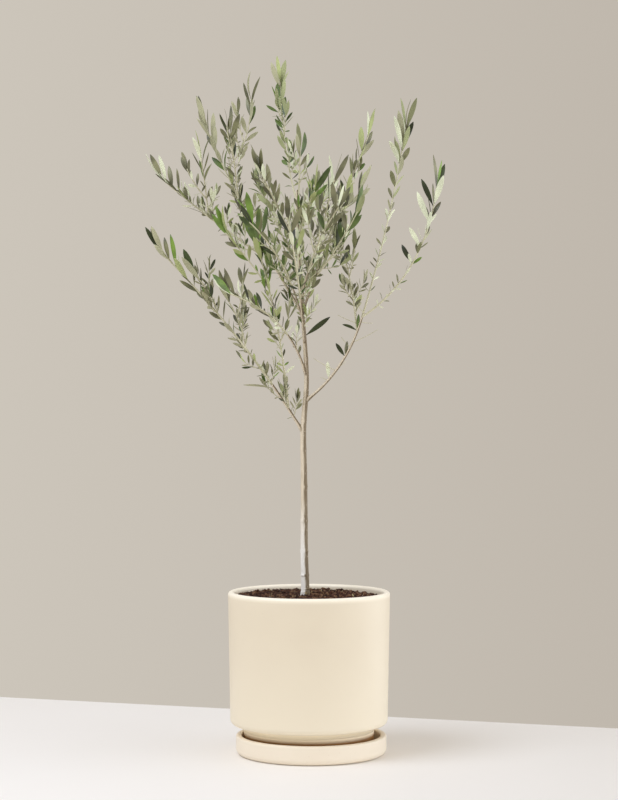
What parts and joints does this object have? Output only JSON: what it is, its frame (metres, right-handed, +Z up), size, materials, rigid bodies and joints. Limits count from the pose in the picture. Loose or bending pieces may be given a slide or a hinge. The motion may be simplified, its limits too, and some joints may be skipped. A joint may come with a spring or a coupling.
{
  "type": "potted olive tree",
  "caption": "Young olive tree with a slim bare trunk and an open crown of narrow leaves, in a round footed ceramic pot that stands in its saucer.",
  "frame": {"origin": "on the pot's axis, in the saucer's flat underside, on the surface that the plant stands on", "axes": "+Z up along the pot's axis; the lower pair of boughs spreads along -X and +X, and -Y is the front"},
  "size_m": [0.4676, 0.4128, 1.1059],
  "materials": {
    "ceramic": "smooth matte cream",
    "potting_soil": "loose, moist and dark",
    "bark": "smooth grey-brown young bark",
    "foliage": "satin grey-green leaves"
  },
  "bodies": {
    "root": {"saucer": "ceramic", "pot": "ceramic", "soil": "potting_soil", "trunk": "bark", "bough_lower_left": "bark", "bough_left_inner": "bark", "bough_upper_left": "bark", "bough_lower_right": "bark", "bough_upper_right": "bark", "bough_front": "bark", "bough_front_right": "bark", "bough_front_left": "bark", "bough_back": "bark", "bough_back_right": "bark", "bough_back_left": "bark", "foliage_lower_left": "foliage", "foliage_left_riser": "foliage", "foliage_left_inner": "foliage", "foliage_upper_left": "foliage", "foliage_left_wing": "foliage", "foliage_right_arm": "foliage", "foliage_right_riser": "foliage", "foliage_right_inner": "foliage", "foliage_upper_right": "foliage", "foliage_right_front": "foliage", "foliage_right_fork": "foliage", "foliage_leader": "foliage", "foliage_top": "foliage", "foliage_inner_left": "foliage", "foliage_inner_front": "foliage", "foliage_inner_back": "foliage", "foliage_front": "foliage", "foliage_front_right": "foliage", "foliage_front_left": "foliage", "foliage_back": "foliage", "foliage_back_right": "foliage", "foliage_back_left": "foliage"}
  },
  "joints": []
}
